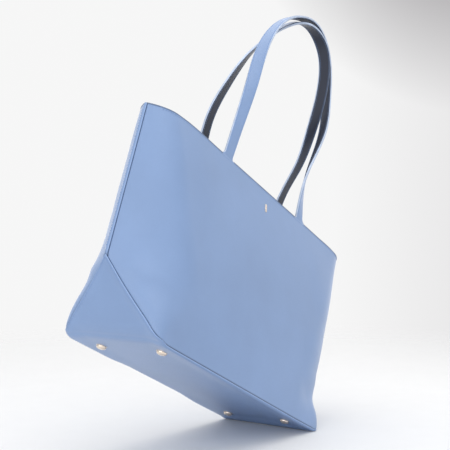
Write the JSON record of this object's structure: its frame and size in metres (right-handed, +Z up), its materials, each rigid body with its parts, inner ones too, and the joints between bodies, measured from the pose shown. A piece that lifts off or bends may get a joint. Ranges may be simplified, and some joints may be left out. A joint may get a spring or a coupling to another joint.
{
  "type": "handbag",
  "caption": "Structured leather shopper bag with two twisted shoulder handles, a wide gusseted base on metal feet and an open lined mouth.",
  "frame": {"origin": "on the ground below the middle of the base, in the plane of the four foot pads", "axes": "+Z up, +X along the bag to its right end as seen from the front, -Y the front"},
  "size_m": [0.478, 0.15, 0.5864],
  "materials": {
    "blue_leather": "smooth fine-grained satin leather",
    "navy_leather": "matte smooth leather",
    "navy_lining": "matte microfibre",
    "board": "matte stiffener sheet",
    "gold_metal": "polished, light gold",
    "dark_tape": "woven zip tape with coil teeth"
  },
  "bodies": {
    "bag": {"front_panel": "blue_leather", "back_panel": "blue_leather", "base_gusset": "blue_leather", "front_facing": "blue_leather", "back_facing": "blue_leather", "front_lining": "navy_lining", "back_lining": "navy_lining", "lining_base": "navy_lining", "base_board": "board", "foot_front_left": "gold_metal", "foot_back_left": "gold_metal", "foot_front_right": "gold_metal", "foot_back_right": "gold_metal", "washer_front_left": "gold_metal", "washer_back_left": "gold_metal", "washer_front_right": "gold_metal", "washer_back_right": "gold_metal", "handle_anchor_front_left": "navy_leather", "handle_anchor_front_right": "navy_leather", "handle_anchor_back_left": "navy_leather", "handle_anchor_back_right": "navy_leather", "front_plate": "gold_metal", "snap_stud": "gold_metal", "snap_socket": "gold_metal", "pocket": "navy_lining", "pocket_welt": "blue_leather", "zip_tape": "dark_tape"},
    "front_handle": {"front_handle_outer": "blue_leather", "front_handle_core": "board", "front_handle_backing": "navy_leather"},
    "back_handle": {"back_handle_outer": "blue_leather", "back_handle_core": "board", "back_handle_backing": "navy_leather"},
    "zip_slider": {"zip_slider": "gold_metal"},
    "zip_pull": {"zip_pull": "gold_metal"}
  },
  "joints": [
    {"name": "front_handle_swing", "type": "hinge", "parent": "bag", "child": "front_handle", "pos_m": [0, -0.02465, 0.28115], "axis": [1, 0, 0], "range_deg": [0, 150]},
    {"name": "back_handle_swing", "type": "hinge", "parent": "bag", "child": "back_handle", "pos_m": [0, 0.02465, 0.28115], "axis": [-1, 0, 0], "range_deg": [0, 150]},
    {"name": "zip_slide", "type": "slide", "parent": "bag", "child": "zip_slider", "axis": [1, 0, 0], "range_m": [-0.16, 0]},
    {"name": "zip_pull_swing", "type": "hinge", "parent": "zip_slider", "child": "zip_pull", "pos_m": [0.08, 0.03132, 0.21048], "axis": [-1, 0, 0], "range_deg": [-10, 150]}
  ]
}
